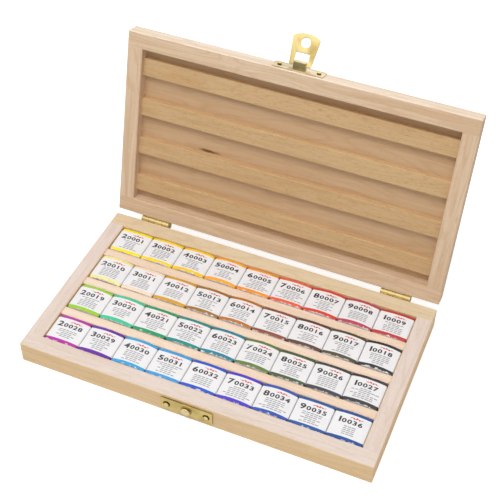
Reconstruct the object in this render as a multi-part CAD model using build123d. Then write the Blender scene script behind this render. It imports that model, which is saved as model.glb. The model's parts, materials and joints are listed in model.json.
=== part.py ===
from build123d import *
import os
from math import cos, hypot, radians, sin, tan

# A hinged wooden watercolour case with four rows of wrapped half pans.
# Millimetres and degrees. X runs along the rows, Y from the front to the hinges, Z up.
# The origin is the middle of the underside. The case stands open, its lid on the hinge stops.

# Wrapped pans
pan_width = 20.4
pan_depth = 19.4
pan_side_height = 10.2
pan_shoulder_bevel = 0.9
crown_lowest = 0.5
crown_highest = 1.3
crown_steps = 4
paper_thickness = 0.18
paper_fit = 0.02
label_depth = 15.6
label_hem = 1.4
cup_wall = 0.9
cup_floor = 1.0
cake_below_rim = 0.5
pan_gap = 0.3
pans_in_row = 9
row_count = 4

# Wooden case
side_rail_width = 9.2
end_rail_width = 9.6
floor_thickness = 3.0
rim_above_pans = 0.8
ridge_width = 5.6
ridge_below_rim = 1.0
ridge_arris = 0.5
rebate_width = 4.0
panel_fit = 0.1
case_arris = 0.4

# Lid
lid_recess = 7.0
lid_panel_thickness = 2.0
closing_gap = 0.1
lid_open_angle = 104.28
slat_width = 10.7
slat_thickness = 3.6
slat_edge_gap = 5.55
slat_set_back = 0.6
slat_arris = 0.4

# Hinges
hinge_inset = 25.5
hinge_length = 18.0
sheet_thickness = 0.8
barrel_radius = 1.6
barrel_stand_off = 0.1
knuckle_count = 4
knuckle_gap = 0.1
barrel_clearance = 0.25
hinge_pin_fit = 0.03
hinge_pin_recess = 0.2
leaf_margin = 1.0
leaf_corner_bevel = 0.6
leaf_pin_spacing = 10.0
stop_reach = 5.0
stop_play = 1.0

# Fixing pins: cut tacks with a square shank
shank_width = 1.0
shank_fit = 0.02
shank_length = 7.0
head_radius = 1.35
head_height = 0.35
head_facets = 12

# Catch
catch_x = -1.0
plate_length = 30.0
lid_plate_rim_margin = 0.8
lid_plate_top_margin = 0.6
strike_plate_rim_margin = 2.0
strike_plate_foot_margin = 3.0
plate_corner_bevel = 0.9
plate_pin_spacing = 23.0
strap_width = 7.0
strap_wall = 0.6
strap_bend = 0.5
strap_reach = 2.2
strap_clearance = 0.14
strap_side_gap = 0.5
pivot_above_plate_middle = 0.7
tongue_thickness = 0.9
bar_height = 1.7
leg_width = 2.35
tongue_shoulder_width = 15.9
tongue_shoulder_rise = 2.7
tongue_tip_wall = 2.2
tongue_corner = 1.0
tongue_foot_bevel = 0.5
hole_radius = 2.8
hole_bridge = 3.0
latched_to_rest_angle = 116.0
stud_neck_radius = 1.7
stud_fit = 0.02
stud_head_height = 1.2
stud_head_bevel = 0.9
stud_head_clearance = 0.3
tongue_clearance = 0.1

# Places and sizes that follow from those above
pan_pitch = pan_width + pan_gap
channel_depth = pan_depth + 2 * pan_gap
row_pitch = channel_depth + ridge_width
inner_width = pans_in_row * pan_pitch + pan_gap
inner_depth = row_count * row_pitch - ridge_width
case_width = inner_width + 2 * side_rail_width
case_depth = inner_depth + 2 * end_rail_width
case_front = -case_depth / 2
case_back = case_depth / 2
base_height = floor_thickness + pan_side_height + rim_above_pans
lid_height = lid_recess + lid_panel_thickness
lid_rim = base_height + closing_gap
lid_top = lid_rim + lid_height
slat_pitch = (inner_depth - 2 * slat_edge_gap - slat_width) / (row_count - 1)

hinge_y = case_back + barrel_radius + barrel_stand_off
hinge_z = base_height + closing_gap / 2
hinge_line = Axis((0, hinge_y, hinge_z), (1, 0, 0))
hinge_x = case_width / 2 - hinge_inset
leaf_foot = lid_height - leaf_margin
leaf_head = barrel_radius + barrel_clearance

lid_plate_limits = (lid_rim + lid_plate_rim_margin, lid_top - lid_plate_top_margin)
strike_plate_limits = (strike_plate_foot_margin, base_height - strike_plate_rim_margin)
strike_z = sum(strike_plate_limits) / 2
pivot_z = sum(lid_plate_limits) / 2 + pivot_above_plate_middle
pivot_y = case_front - sheet_thickness - strap_reach
pivot_line = Axis((catch_x, pivot_y, pivot_z), (1, 0, 0))
strap_room = hypot(bar_height, tongue_thickness) / 2 + strap_clearance
hole_reach = pivot_z - strike_z

layer = paper_thickness + paper_fit

UPRIGHT = (Align.CENTER, Align.CENTER, Align.MIN)


def block(x, y, z):
    """A box between a low and a high limit on each axis."""
    lows, highs = zip(x, y, z)
    size = [high - low for low, high in zip(lows, highs)]
    centre = [(low + high) / 2 for low, high in zip(lows, highs)]
    return Pos(*centre) * Box(*size)


def centred_block(width, depth, z):
    return block((-width / 2, width / 2), (-depth / 2, depth / 2), z)


def save(node, *shapes):
    """Writes one node from the solids of the given shapes."""
    solids = [solid for shape in shapes for solid in shape.solids()]
    export_step(Compound(solids), os.path.join("parts", node + ".step"))


def open_lid(shape):
    """Swings a piece of the shut lid up to where the lid rests on its stops."""
    return shape.rotate(hinge_line, -lid_open_angle)


# ---- Wooden case ----


def panel(height_limits, fit):
    """The thin panel or, with no fit, the rebate cut for it."""
    width = inner_width + 2 * rebate_width - 2 * fit
    depth = inner_depth + 2 * rebate_width - 2 * fit
    return centred_block(width, depth, height_limits)


def borders_opening(edge):
    middle = edge.center()
    within_width = abs(middle.X) < inner_width / 2 + case_arris
    return within_width and abs(middle.Y) < inner_depth / 2 + case_arris


def eased_frame(height):
    """A glued-up frame standing on z=0, its outside and its inner rim eased by sanding."""
    outside = centred_block(case_width, case_depth, (0, height))
    outside = chamfer(outside.edges(), case_arris)
    frame = outside - centred_block(inner_width, inner_depth, (0, height))
    rim = frame.edges().group_by(Axis.Z)[-1]
    return chamfer(rim.filter_by(borders_opening), case_arris)


def rails(frame):
    """Cuts a frame into its front, back, left and right rails, butted at the corners."""
    whole_height = (-lid_top, lid_top)
    across = (-case_width / 2, case_width / 2)
    between = (-inner_depth / 2, inner_depth / 2)
    return {
        "front": frame & block(across, (case_front, -inner_depth / 2), whole_height),
        "back": frame & block(across, (inner_depth / 2, case_back), whole_height),
        "left": frame & block((-case_width / 2, 0), between, whole_height),
        "right": frame & block((0, case_width / 2), between, whole_height),
    }


def base_frame():
    return eased_frame(base_height) - panel((0, floor_thickness), 0)


def lid_frame():
    """The lid's frame as it lies shut: the same build turned rim down."""
    frame = eased_frame(lid_height) - panel((0, lid_panel_thickness), 0)
    return Pos(0, 0, lid_top) * mirror(frame, Plane.XY)


def row_y(row):
    """The middle of a row of pans, row 0 at the back."""
    return inner_depth / 2 - channel_depth / 2 - row * row_pitch


def tray_ridges():
    """The ridges that part the rows, standing on the floor between the side rails."""
    ridges = []
    for row in range(row_count - 1):
        middle = row_y(row) - row_pitch / 2
        limits = (middle - ridge_width / 2, middle + ridge_width / 2)
        top = base_height - ridge_below_rim
        ridge = block((-inner_width / 2, inner_width / 2), limits, (floor_thickness, top))
        upper = ridge.edges().filter_by(Axis.X).group_by(Axis.Z)[-1]
        ridges.append(chamfer(upper, ridge_arris))
    return ridges


def press_slats():
    """The slats glued inside the shut lid, one over each row."""
    slats = []
    first = -slat_pitch * (row_count - 1) / 2 + slat_set_back
    ceiling = lid_rim + lid_recess
    face = ceiling - slat_thickness
    for index in range(row_count):
        middle = first + index * slat_pitch
        limits = (middle - slat_width / 2, middle + slat_width / 2)
        slat = block((-inner_width / 2, inner_width / 2), limits, (face, ceiling))
        lower = slat.edges().filter_by(Axis.X).group_by(Axis.Z)[0]
        slats.append(chamfer(lower, slat_arris))
    return slats


# ---- Fixing pins, driven into the wood: each stands on its sheet's outer face ----


def fixing_pin():
    """One tack; a dozen share the case, so the small round head has only a few faces."""
    shank = centred_block(shank_width, shank_width, (-shank_length, 0))
    return shank + extrude(RegularPolygon(head_radius, head_facets), head_height)


def pin_hole():
    """The round hole that a pin goes through, as deep as the sheet."""
    radius = hypot(shank_width, shank_width) / 2 + shank_fit
    return Pos(0, 0, -sheet_thickness) * Cylinder(radius, sheet_thickness, align=UPRIGHT)


def at_back(x, z):
    """Places a pin shape on a hinge leaf's outer face, pointing forwards."""
    return Pos(x, case_back + sheet_thickness, z) * Rot(-90, 0, 0)


def at_front(x, z):
    """Places a shape on a front plate's outer face, pointing out, x from the catch's middle."""
    return Pos(catch_x + x, case_front - sheet_thickness, z) * Rot(90, 0, 0)


def leaf_pin_places(side):
    """Where a hinge's pins go, below the hinge line for side -1 and above it for side 1."""
    drop = (leaf_head + leaf_foot) / 2
    hinges = (-hinge_x, hinge_x)
    shifts = (-leaf_pin_spacing / 2, leaf_pin_spacing / 2)
    return [at_back(x + shift, hinge_z + side * drop) for x in hinges for shift in shifts]


def plate_pin_places(height_limits):
    middle = sum(height_limits) / 2
    return [at_front(x, middle) for x in (-plate_pin_spacing / 2, plate_pin_spacing / 2)]


# ---- Hinges, drawn round their own pin: X along it, Y away from the wood, Z up ----


def stop_ear(left):
    """A bent ear whose mitred edge meets the other leaf's ear when the lid is open."""
    wood = -barrel_radius - barrel_stand_off
    mitre = radians((lid_open_angle + stop_play) / 2)
    outline = Polyline(
        (wood, -leaf_head),
        (leaf_head / tan(mitre), -leaf_head),
        (stop_reach * cos(mitre), -stop_reach * sin(mitre)),
        (wood, -stop_reach),
        close=True,
    )
    ear = extrude(Plane.YZ * make_face(outline), sheet_thickness)
    return Pos(left, 0, 0) * ear


def lower_leaf(first_knuckle):
    """A leaf below the pin, curled round it at every second knuckle from the first."""
    wood = -barrel_radius - barrel_stand_off
    sheet = (wood, wood + sheet_thickness)
    half = hinge_length / 2
    leaf = block((-half, half), sheet, (-leaf_foot, -leaf_head))
    foot = leaf.edges().filter_by(Axis.Y).group_by(Axis.Z)[0]
    leaf = chamfer(foot, leaf_corner_bevel)
    leaf += stop_ear(-half) + stop_ear(half - sheet_thickness)
    pitch = hinge_length / knuckle_count
    for knuckle in range(first_knuckle, knuckle_count, 2):
        left = -half + knuckle * pitch + knuckle_gap / 2
        right = left + pitch - knuckle_gap
        middle = (left + right) / 2
        leaf += block((left, right), sheet, (-leaf_head, 0))
        leaf += Pos(middle, 0, 0) * Rot(0, 90, 0) * Cylinder(barrel_radius, right - left)
    bore = Rot(0, 90, 0) * Cylinder(barrel_radius - sheet_thickness, hinge_length)
    return leaf - bore


def hinge_leaf(side, x):
    """One leaf in place with its pin holes: side -1 on the base, 1 on the shut lid."""
    leaf = lower_leaf(0) if side < 0 else mirror(lower_leaf(1), Plane.XY)
    leaf = Pos(x, hinge_y, hinge_z) * leaf
    for place in leaf_pin_places(side):
        leaf -= place * pin_hole()
    return leaf


def hinge_pin(x):
    radius = barrel_radius - sheet_thickness - hinge_pin_fit
    length = hinge_length - 2 * hinge_pin_recess
    return Pos(x, hinge_y, hinge_z) * Rot(0, 90, 0) * Cylinder(radius, length)


# ---- Catch ----


def catch_limits(width):
    """Where a piece of the catch this wide starts and ends along the front."""
    return (catch_x - width / 2, catch_x + width / 2)


def front_plate(height_limits):
    """A brass plate on the case's front, clipped at its corners, with two pin holes."""
    y = (case_front - sheet_thickness, case_front)
    plate = block(catch_limits(plate_length), y, height_limits)
    plate = chamfer(plate.edges().filter_by(Axis.Y), plate_corner_bevel)
    for place in plate_pin_places(height_limits):
        plate -= place * pin_hole()
    return plate


def catch_lid_plate():
    """The lid's plate with the folded strap that the tongue's bar turns in."""
    x = catch_limits(strap_width)
    face = case_front - sheet_thickness
    outer = pivot_y - strap_room - strap_wall
    high = strap_room + strap_wall
    strap = block(x, (outer, face), (pivot_z - high, pivot_z + high))
    bends = strap.edges().filter_by(Axis.X).group_by(Axis.Y)[0]
    strap = fillet(bends, strap_bend)
    room = (pivot_z - strap_room, pivot_z + strap_room)
    strap -= block(x, (pivot_y - strap_room, face), room)
    return front_plate(lid_plate_limits) + strap


def catch_tongue():
    """The swinging hasp as it hangs when latched: bar, window, round hole, arched end."""
    window_width = strap_width + 2 * strap_side_gap
    foot_half = window_width / 2 + leg_width
    shoulder_half = tongue_shoulder_width / 2
    shoulder = -hole_reach - tongue_shoulder_rise
    tip = -hole_reach - hole_radius - tongue_tip_wall
    top = bar_height / 2
    outline = Polyline(
        (-shoulder_half, shoulder), (-foot_half, top), (foot_half, top), (shoulder_half, shoulder)
    ) + ThreePointArc((shoulder_half, shoulder), (0, tip), (-shoulder_half, shoulder))
    sheet = make_face(outline)
    low_corners = sheet.vertices().group_by(Axis.Y)[0]
    sheet = fillet(low_corners, tongue_corner)
    sheet = chamfer(sheet.vertices().group_by(Axis.Y)[-1], tongue_foot_bevel)
    window_foot = -hole_reach + hole_radius + hole_bridge
    window_height = -bar_height / 2 - window_foot
    window = Pos(0, window_foot + window_height / 2) * Rectangle(window_width, window_height)
    sheet = sheet - window - Pos(0, -hole_reach) * Circle(hole_radius)
    tongue = extrude(Plane.XZ * sheet, tongue_thickness / 2, both=True)
    return Pos(catch_x, pivot_y, pivot_z) * tongue


def strike_stud():
    """The stud riveted through the strike plate; its head fills the latched tongue's hole."""
    head = hole_radius - stud_head_clearance
    neck = strap_reach - tongue_thickness / 2 - tongue_clearance
    outline = Polyline(
        (0, -sheet_thickness),
        (stud_neck_radius, -sheet_thickness),
        (stud_neck_radius, neck),
        (head, neck),
        (head - stud_head_bevel, neck + stud_head_height),
        (0, neck + stud_head_height),
        close=True,
    )
    stud = revolve(Plane.XZ * make_face(outline), Axis.Z)
    return at_front(0, strike_z) * stud


def strike_plate():
    hole = Cylinder(stud_neck_radius + stud_fit, 2 * sheet_thickness)
    return front_plate(strike_plate_limits) - at_front(0, strike_z) * hole


# ---- Pans, drawn standing on z=0 about their own middle ----


def arched(width, depth, height, crown, bevel):
    """A block crowned along the row, its top bevelled at both sides."""
    half = width / 2
    eave = half - bevel
    shoulder = height - bevel
    outline = Polyline(
        (-eave, height), (-half, shoulder), (-half, 0), (half, 0), (half, shoulder), (eave, height)
    ) + ThreePointArc((eave, height), (0, height + crown), (-eave, height))
    return extrude(Plane.XZ * make_face(outline), depth / 2, both=True)


def pan_form(depth, pared, crown):
    """The wrapped pan's form with its sides and top pared down by the paper over it."""
    return arched(pan_width - 2 * pared, depth, pan_side_height - pared, crown, pan_shoulder_bevel)


def pan(crown):
    """The label, wrapper, cake of paint and cup of one pan."""
    label = pan_form(label_depth, 0, crown) - pan_form(label_depth, paper_thickness, crown)
    label -= centred_block(pan_width, pan_depth, (0, label_hem))
    room = pan_form(pan_depth - 2 * paper_thickness, layer + paper_thickness, crown)
    wrapper = pan_form(pan_depth, layer, crown) - room

    cup_width = pan_width - 4 * layer
    cup_depth = pan_depth - 2 * layer
    well = (cup_width - 2 * cup_wall, cup_depth - 2 * cup_wall)
    cup_height = pan_side_height - 2 * layer - pan_shoulder_bevel
    cup = centred_block(cup_width, cup_depth, (0, cup_height))
    cup -= centred_block(*well, (cup_floor, cup_height))
    cake = centred_block(*well, (cup_floor, cup_height - cake_below_rim))
    return label, wrapper, cake, cup


def pan_crown(row, column):
    """The wrappers bulge unevenly, in a few steps between the two limits."""
    step = (3 * row + 5 * column) % crown_steps
    return crown_lowest + (crown_highest - crown_lowest) * step / (crown_steps - 1)


def pan_place(row, column):
    first = -inner_width / 2 + pan_gap + pan_width / 2
    return Pos(first + column * pan_pitch, row_y(row), floor_thickness)


# ---- The nodes ----


def save_base():
    pieces = rails(base_frame())
    for name, rail in pieces.items():
        save(f"base_{name}_rail", rail)
    save("base_floor_panel", panel((0, floor_thickness), panel_fit))
    save("tray_ridges", *tray_ridges())
    save("strike_plate", strike_plate())
    save("strike_stud", strike_stud())
    places = leaf_pin_places(-1) + plate_pin_places(strike_plate_limits)
    save("base_pins", *[place * fixing_pin() for place in places])


def save_lid():
    pieces = rails(lid_frame())
    for name, rail in pieces.items():
        save(f"lid_{name}_rail", open_lid(rail))
    save("lid_top_panel", open_lid(panel((lid_rim + lid_recess, lid_top), panel_fit)))
    save("lid_press_slats", *[open_lid(slat) for slat in press_slats()])
    save("catch_lid_plate", open_lid(catch_lid_plate()))
    raised = catch_tongue().rotate(pivot_line, -latched_to_rest_angle)
    save("catch_tongue", open_lid(raised))
    places = leaf_pin_places(1) + plate_pin_places(lid_plate_limits)
    save("lid_pins", *[open_lid(place * fixing_pin()) for place in places])


def save_hinges():
    for name, x in (("left", -hinge_x), ("right", hinge_x)):
        save(f"{name}_hinge_base_leaf", hinge_leaf(-1, x))
        save(f"{name}_hinge_lid_leaf", open_lid(hinge_leaf(1, x)))
        save(f"{name}_hinge_pin", hinge_pin(x))


def save_pans():
    for row in range(row_count):
        for column in range(pans_in_row):
            place = pan_place(row, column)
            pieces = [place * piece for piece in pan(pan_crown(row, column))]
            save(f"pan_r{row + 1}_c{column + 1}", *pieces)


os.makedirs("parts", exist_ok=True)
save_base()
save_lid()
save_hinges()
save_pans()
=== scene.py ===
import json
from math import asin, cos, pi, radians, sin, tan

import bmesh
import bpy
from bpy.props import FloatProperty, FloatVectorProperty, IntProperty, PointerProperty
from bpy.types import Operator, Panel, PropertyGroup
from mathutils import Euler, Matrix, Vector, noise


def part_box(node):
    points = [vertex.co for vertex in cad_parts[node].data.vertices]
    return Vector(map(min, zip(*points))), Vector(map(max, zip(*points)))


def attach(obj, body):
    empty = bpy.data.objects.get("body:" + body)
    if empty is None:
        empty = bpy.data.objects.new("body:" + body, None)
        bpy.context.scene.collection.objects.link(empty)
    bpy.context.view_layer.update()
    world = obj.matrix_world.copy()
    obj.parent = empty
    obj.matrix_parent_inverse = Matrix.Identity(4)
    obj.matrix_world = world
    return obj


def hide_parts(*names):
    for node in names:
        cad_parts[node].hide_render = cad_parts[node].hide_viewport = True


bl_info = {
    "name": "Watercolour paint box",
    "version": (1, 0, 0),
    "blender": (4, 5, 0),
    "location": "3D View > Sidebar > Paint Box",
    "description": "Finishes a hinged beech box of wrapped half pans",
    "category": "Object",
}

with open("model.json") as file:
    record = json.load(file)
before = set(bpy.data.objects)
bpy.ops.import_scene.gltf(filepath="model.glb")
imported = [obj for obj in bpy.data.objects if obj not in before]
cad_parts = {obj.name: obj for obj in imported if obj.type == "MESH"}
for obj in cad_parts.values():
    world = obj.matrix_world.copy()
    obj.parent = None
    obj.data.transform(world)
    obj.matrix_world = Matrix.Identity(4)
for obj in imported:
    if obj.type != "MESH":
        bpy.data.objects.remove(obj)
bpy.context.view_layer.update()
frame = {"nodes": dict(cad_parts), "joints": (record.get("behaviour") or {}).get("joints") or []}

MM = 0.001
COLUMNS = 9
JOINTS = {joint["name"]: joint for joint in frame["joints"]}
LID_OPEN = -radians(JOINTS["lid_hinge"]["range_deg"][0])
HINGE_LINE = Vector(JOINTS["lid_hinge"]["pos_m"])
CATCH_LINE = Vector(JOINTS["catch_swing"]["pos_m"])
TONGUE_RAISED = -radians(JOINTS["catch_swing"]["range_deg"][0])


def srgb(red, green, blue):
    """A colour given as it looks on a screen, 0 to 255, as linear light."""
    def linear(part):
        share = part / 255
        return share / 12.92 if share <= 0.04045 else ((share + 0.055) / 1.055) ** 2.4
    return tuple(linear(part) for part in (red, green, blue))


def opening_turn():
    """Turns what is drawn on the shut lid up to where the lid stands open."""
    there = Matrix.Translation(HINGE_LINE)
    return there @ Matrix.Rotation(-LID_OPEN, 4, "X") @ there.inverted()


OPENING = opening_turn()

# The coloured wrappers, from the back row to the front and from left to right
WRAPPERS = (
    (
        ("lemon", (246, 224, 20)), ("primrose", (248, 212, 12)), ("warm yellow", (248, 200, 16)),
        ("light orange", (246, 164, 30)), ("orange", (242, 144, 30)), ("vermilion", (232, 92, 58)),
        ("scarlet", (214, 62, 52)), ("crimson", (186, 66, 84)), ("carmine", (190, 58, 58)),
    ),
    (
        ("cream", (242, 230, 150)), ("peach", (240, 216, 190)), ("golden ochre", (212, 156, 40)),
        ("brown ochre", (160, 112, 44)), ("sienna", (184, 112, 44)), ("red brown", (140, 76, 56)),
        ("dark brown", (92, 60, 52)), ("olive brown", (78, 70, 50)), ("indigo", (40, 42, 52)),
    ),
    (
        ("lime", (150, 200, 40)), ("turquoise green", (60, 196, 150)), ("green", (24, 150, 96)),
        ("teal", (26, 136, 130)), ("blue teal", (30, 128, 150)), ("olive green", (96, 122, 62)),
        ("dark olive", (70, 88, 54)), ("charcoal", (62, 62, 68)), ("soft black", (52, 52, 60)),
    ),
    (
        ("magenta", (178, 40, 160)), ("violet", (100, 36, 160)), ("sky blue", (52, 160, 216)),
        ("azure", (60, 156, 220)), ("royal blue", (40, 84, 200)), ("violet blue", (78, 58, 196)),
        ("ultramarine", (50, 84, 176)), ("cobalt", (38, 86, 158)), ("deep blue", (30, 76, 150)),
    ),
)


# ---- Sizes and colours a user would change ----


def colour_setting(name, description, *screen):
    """A colour, its default given as it looks on a screen."""
    return FloatVectorProperty(
        name=name, description=description, subtype="COLOR", size=3, default=srgb(*screen))


def length_setting(name, description, default):
    return FloatProperty(
        name=name, description=description, default=default, min=0, unit="LENGTH")


class PaintBoxWood(PropertyGroup):
    case: colour_setting("Base", "Beech of the base's rails", 230, 202, 160)
    # Painted light: a paler tone painted on the faces that lie upwards, where the overhead light
    # falls on them
    rim: colour_setting(
        "Planed faces", "Paler, rosier beech of the faces that lie upwards", 223, 211, 204)
    lid: colour_setting("Lid", "Beech of the lid's rails", 218, 195, 168)
    slat: colour_setting("Slats", "Beech of the lid's slats", 203, 172, 130)
    panel: colour_setting("Panels", "Thin beech let into the case and the lid", 200, 169, 134)
    fleck: FloatProperty(
        name="Flecks", description="How dark the short flecks in the grain are", default=0.24,
        min=0, max=1, subtype="FACTOR")


class PaintBoxPans(PropertyGroup):
    paper: colour_setting("Label paper", "White paper of the labels", 229, 229, 231)
    ink: colour_setting("Ink", "Ink of the numbers", 48, 44, 50)
    label_depth: length_setting("Label depth", "Width of the white band round each pan", 14.9 * MM)
    paper_thickness: length_setting("Paper", "Thickness of a label and of a wrapper", 0.18 * MM)
    crumple: length_setting(
        "Crumple", "How far the wrapping stands off from its true shape", 0.14 * MM)
    number_height: length_setting("Number height", "Height of the first figure", 3.5 * MM)
    print_rows: IntProperty(
        name="Rows of print", description="Rows of fine print on a label", default=6, min=0)


class PaintBoxBrass(PropertyGroup):
    colour: colour_setting("Brass", "Bright brass plate", 244, 224, 158)
    tarnish: colour_setting("Tarnish", "Brass where it has dulled", 186, 158, 92)
    sheet: length_setting("Sheet", "Thickness of the sheet brass", 0.8 * MM)
    arris: length_setting("Edge rounding", "Rounding along the stamped edges", 0.14 * MM)


class PaintBoxStage(PropertyGroup):
    floor_size: length_setting("Floor", "Width of the floor", 8.0)
    lamp_power: FloatProperty(
        name="Lamp", description="Power of the overhead lamp", default=7.6, min=0)
    daylight: FloatProperty(
        name="Daylight", description="Strength of the soft light from above", default=0.6, min=0)
    gleam: FloatProperty(
        name="Gleam", description="How much brighter the light from above is in reflections",
        default=0.55, min=0)
    floor_glow: FloatProperty(
        name="Floor glow", description="How far the floor is lifted towards white", default=0.66,
        min=0)
    focal_length: FloatProperty(
        name="Lens", description="Focal length of the camera, in millimetres", default=78.14,
        min=1)


# ---- Materials ----


class Tree:
    """A node tree that is being put together."""

    def __init__(self, tree):
        self.tree = tree

    def add(self, kind, inputs=(), **settings):
        node = self.tree.nodes.new(kind)
        for key, value in settings.items():
            setattr(node, key, value)
        for key, value in dict(inputs).items():
            self.feed(node, key, value)
        return node

    def put(self, kind, inputs=(), **settings):
        """Adds a node and gives the first of its outputs that is in use."""
        node = self.add(kind, inputs, **settings)
        return next(s for s in node.outputs if s.enabled)

    def feed(self, node, key, value):
        sockets = [s for s in node.inputs if s.enabled]
        by_place = isinstance(key, int)
        socket = sockets[key] if by_place else next(s for s in sockets if s.name == key)
        if isinstance(value, bpy.types.NodeSocket):
            self.tree.links.new(value, socket)
        elif socket.type == "RGBA":
            socket.default_value = (*value[:3], 1)
        else:
            socket.default_value = value

    def math(self, operation, *values):
        return self.put("ShaderNodeMath", dict(enumerate(values)), operation=operation)

    def span(self, value, low, high, start=0.0, end=1.0):
        """Eases a value between two limits into another range."""
        limits = {"From Min": low, "From Max": high, "To Min": start, "To Max": end}
        inputs = {"Value": value, **limits}
        return self.put("ShaderNodeMapRange", inputs, interpolation_type="SMOOTHSTEP")

    def parts(self, vector):
        return self.add("ShaderNodeSeparateXYZ", {0: vector}).outputs

    def seen(self):
        """1 where the camera looks straight at something or through glass, otherwise 0."""
        path = self.add("ShaderNodeLightPath").outputs
        return self.math("MAXIMUM", path["Is Camera Ray"], path["Is Transmission Ray"])


class Finish(Tree):
    """A material with its principled shader."""

    def __init__(self, name):
        self.material = bpy.data.materials.new(name)
        self.material.use_nodes = True
        super().__init__(self.material.node_tree)
        self.shader = self.tree.nodes["Principled BSDF"]

    def place(self, turn=(0, 0, 0), shift=(0, 0, 0)):
        """Coordinates on the piece, turned and then moved."""
        spot = self.add("ShaderNodeTexCoord").outputs["Object"]
        inputs = {"Vector": spot, "Rotation": turn, "Location": shift}
        return self.put("ShaderNodeMapping", inputs)

    def scaled(self, vector, stretch):
        return self.put("ShaderNodeMapping", {"Vector": vector, "Scale": stretch})

    def cloud(self, vector, scale, detail=2.0, rough=0.5, distortion=0.0):
        settings = {"Vector": vector, "Scale": scale, "Detail": detail, "Roughness": rough}
        return self.put("ShaderNodeTexNoise", {**settings, "Distortion": distortion})

    def blend(self, share, first, second, mode="MIX"):
        inputs = {"Factor": share, "A": first, "B": second}
        return self.put("ShaderNodeMix", inputs, data_type="RGBA", blend_type=mode)

    def shade(self, colour, factors):
        """The colour with each of its channels multiplied."""
        return self.blend(1.0, colour, factors, "MULTIPLY")

    def relief(self, height, distance, strength=1.0):
        settings = {"Height": height, "Distance": distance, "Strength": strength}
        self.feed(self.shader, "Normal", self.put("ShaderNodeBump", settings))

    def set(self, **values):
        for key, value in values.items():
            self.feed(self.shader, key.replace("_", " "), value)


def tinted(colour, factors):
    return tuple(part * factor for part, factor in zip(colour, factors))


def beech(name, colour, grain, open_lid, seed, figure, fleck, painted_top_light=None):
    """Sanded, unvarnished beech: soft growth bands, short flecks and fine pores along the grain.

    The last argument, if given, is a paler tone painted on the faces that lie upwards: painted
    light from above."""
    finish = Finish(name)
    turn = (LID_OPEN if open_lid else 0, 0, pi / 2 if grain == "Y" else 0)
    # Each seed takes its grain from another place in the noise
    spot = finish.place(turn, tuple(0.37 * seed * part for part in (1.0, 0.61, 0.83)))
    # Painted light: faces that lie upwards blend towards the paler tone, as if lit from above
    if painted_top_light:
        facing = finish.add("ShaderNodeTexCoord").outputs["Normal"]
        upward = finish.parts(facing)["Z"]
        colour = finish.blend(finish.span(upward, 0.5, 0.9), colour, painted_top_light)

    def streaks(along, across, *character):
        return finish.cloud(finish.scaled(spot, (along, across, across)), 1.0, *character)

    drift = streaks(3, 16, 2)
    rings = streaks(9, 75, 2, 0.4, 0.5)
    bands = streaks(9, 190, 4, 0.55, 1.2)
    fibre = streaks(60, 2600, 3, 0.6)
    dashes = streaks(420, 3000, 1, 0.4)
    ripple = finish.math("SINE", finish.math("MULTIPLY", rings, 75))

    reddish = finish.shade(colour, (0.97, 0.91, 0.88))
    base = finish.blend(finish.span(drift, 0.3, 0.7), colour, reddish)
    brown = finish.shade(base, (0.80, 0.72, 0.60))
    base = finish.blend(finish.span(bands, 0.40, 0.72, 0, 0.50 * figure), base, brown)
    base = finish.blend(finish.span(ripple, 0.2, 1.0, 0, 0.34 * figure), base, brown)
    base = finish.blend(finish.span(fibre, 0.3, 0.75, 0, 0.34), base, brown)
    dark = finish.shade(base, (0.52, 0.40, 0.30))
    base = finish.blend(finish.span(dashes, 0.62, 0.70, 0, fleck), base, dark)
    finish.set(Base_Color=base, Roughness=finish.span(fibre, 0.2, 0.8, 0.52, 0.68))
    finish.set(Specular_IOR_Level=0.3)
    pores = finish.math("MULTIPLY", dashes, 0.6)
    finish.relief(finish.math("SUBTRACT", fibre, pores), 0.00006, 0.5)
    return finish


def stain(finish, centre, reach, strength, tone):
    """Darkens an oval patch of a finish, such as a knot or a figured spot, with soft edges."""
    spot = finish.add("ShaderNodeTexCoord").outputs["Object"]
    away = finish.put("ShaderNodeVectorMath", {0: spot, 1: centre}, operation="SUBTRACT")
    away = finish.scaled(away, tuple(1 / part for part in reach))
    far = finish.put("ShaderNodeVectorMath", {0: away}, operation="LENGTH")
    far = finish.math("ADD", far, finish.cloud(spot, 160.0, 3, 0.6))
    share = finish.span(far, 0.75, 1.5, strength, 0)
    base = finish.shader.inputs["Base Color"].links[0].from_socket
    finish.set(Base_Color=finish.blend(share, base, finish.shade(base, tone)))


# How each brass part departs from the brass of the settings: tone, roughness and dulling
BRASSES = {
    "Hinge": ((1, 1, 1), 0.24, 0.35),
    "Hinge pin": ((1, 1, 1), 0.35, 0.8),
    "Strike plate": ((0.86, 0.84, 0.74), 0.34, 0.5),
    # Painted shade: dark metal for the pin seats, whose upper part lies in shadow
    "Dish": ((0.30, 0.24, 0.14), 0.4, 0.8),
    # Painted shade: the dark ring round the stud and the dark outline edge of the strike plate
    "Collar": ((0.55, 0.47, 0.33), 0.3, 0.8),
    "Stud": ((1.03, 1.06, 1.3), 0.2, 0.35),
    "Catch plate": ((0.98, 1.02, 1.55), 0.3, 0.5),
    # Painted shade: the dark faces on the strap's underside
    "Strap": ((0.46, 0.47, 0.52), 0.34, 0.8),
    "Tongue": ((1.04, 1.03, 1.0), 0.24, 0.7),
    "Pin": ((1, 1, 1), 0.22, 0.5),
    # Painted shade: the dark seat and neck under a plate pin's head
    "Pin foot": ((0.16, 0.13, 0.08), 0.45, 0.8),
}


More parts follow.
